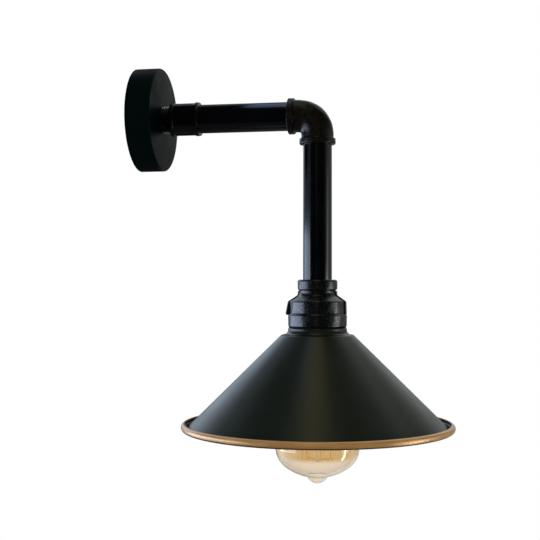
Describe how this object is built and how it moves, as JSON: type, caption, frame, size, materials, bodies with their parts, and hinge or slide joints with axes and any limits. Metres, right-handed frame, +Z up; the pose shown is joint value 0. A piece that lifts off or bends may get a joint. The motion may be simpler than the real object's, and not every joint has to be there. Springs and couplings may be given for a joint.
{
  "type": "wall sconce",
  "caption": "Industrial wall light: round rose, level pipe, banded elbow and drop pipe to a flared socket, wide cone shade with a rolled rim, and a globe lamp that screws out.",
  "frame": {"origin": "on the wall, at the centre of the rose", "axes": "+X leaves the wall along the level pipe, +Z is up, +Y is to the right when looking at the wall"},
  "size_m": [0.306, 0.26, 0.4006],
  "materials": {
    "rose_black": "satin black powder coat",
    "screw_black": "black oxide",
    "pipe_black": "semi-gloss black enamel",
    "cast_black": "black enamel over sand-cast skin",
    "shade_black": "satin black enamel outside",
    "shade_brass": "brass-coloured satin lining",
    "amber_glass": "clear amber",
    "clear_glass": "clear",
    "cap_black_glass": "black insulating glass",
    "contact_brass": "pressed brass",
    "solder": "solder",
    "filament_wire": "dull wire",
    "support_wire": "drawn wire",
    "holder_black": "moulded phenolic",
    "insert_ceramic": "unglazed",
    "zinc_steel": "zinc plate",
    "block_white": "moulded",
    "earth_green": "insulation",
    "flex_black": "flexible sheath",
    "core_brown": "insulation"
  },
  "bodies": {
    "fixture": {"wall_plate": "zinc_steel", "rose_cover": "rose_black", "rose_grub_screws": "screw_black", "wall_nipple": "pipe_black", "nipple_washer": "zinc_steel", "nipple_backnut": "zinc_steel", "arm_coupling": "pipe_black", "arm_pipe": "pipe_black", "pipe_elbow": "cast_black", "drop_pipe": "pipe_black", "reducing_socket": "cast_black", "holder_cap": "holder_black", "holder_skirt": "holder_black", "holder_insert": "insert_ceramic", "contact_rivets": "contact_brass", "thread_shell": "contact_brass", "centre_contact": "contact_brass", "holder_terminals": "contact_brass", "holder_terminal_screws": "zinc_steel", "shade": "shade_black", "shade_ring": "shade_brass", "terminal_block": "block_white", "terminal_tubes": "contact_brass", "terminal_screws": "zinc_steel", "block_screw": "zinc_steel", "earth_screw": "zinc_steel", "earth_tag": "contact_brass", "earth_lead": "earth_green", "flex_sheath": "flex_black", "flex_cores": "core_brown"},
    "lamp_eyelet": {"bulb_eyelet": "solder"},
    "lamp": {"bulb_glass": "amber_glass", "bulb_cap": "contact_brass", "bulb_cap_glass": "cap_black_glass", "bulb_stem": "clear_glass", "bulb_leads": "support_wire", "filament_supports": "support_wire", "filament": "filament_wire"}
  },
  "joints": [
    {"name": "bulb_drop", "type": "slide", "parent": "fixture", "child": "lamp_eyelet", "axis": [0, 0, -1], "range_m": [0, 0.01815]},
    {"name": "bulb_turn", "type": "hinge", "parent": "lamp_eyelet", "child": "lamp", "pos_m": [0.176, 0, -0.26], "axis": [0, 0, -1], "range_deg": [0, 1800]}
  ],
  "couplings": [
    {"joint": "bulb_drop", "follows": "bulb_turn", "m_per_rad": 0.0005775}
  ]
}
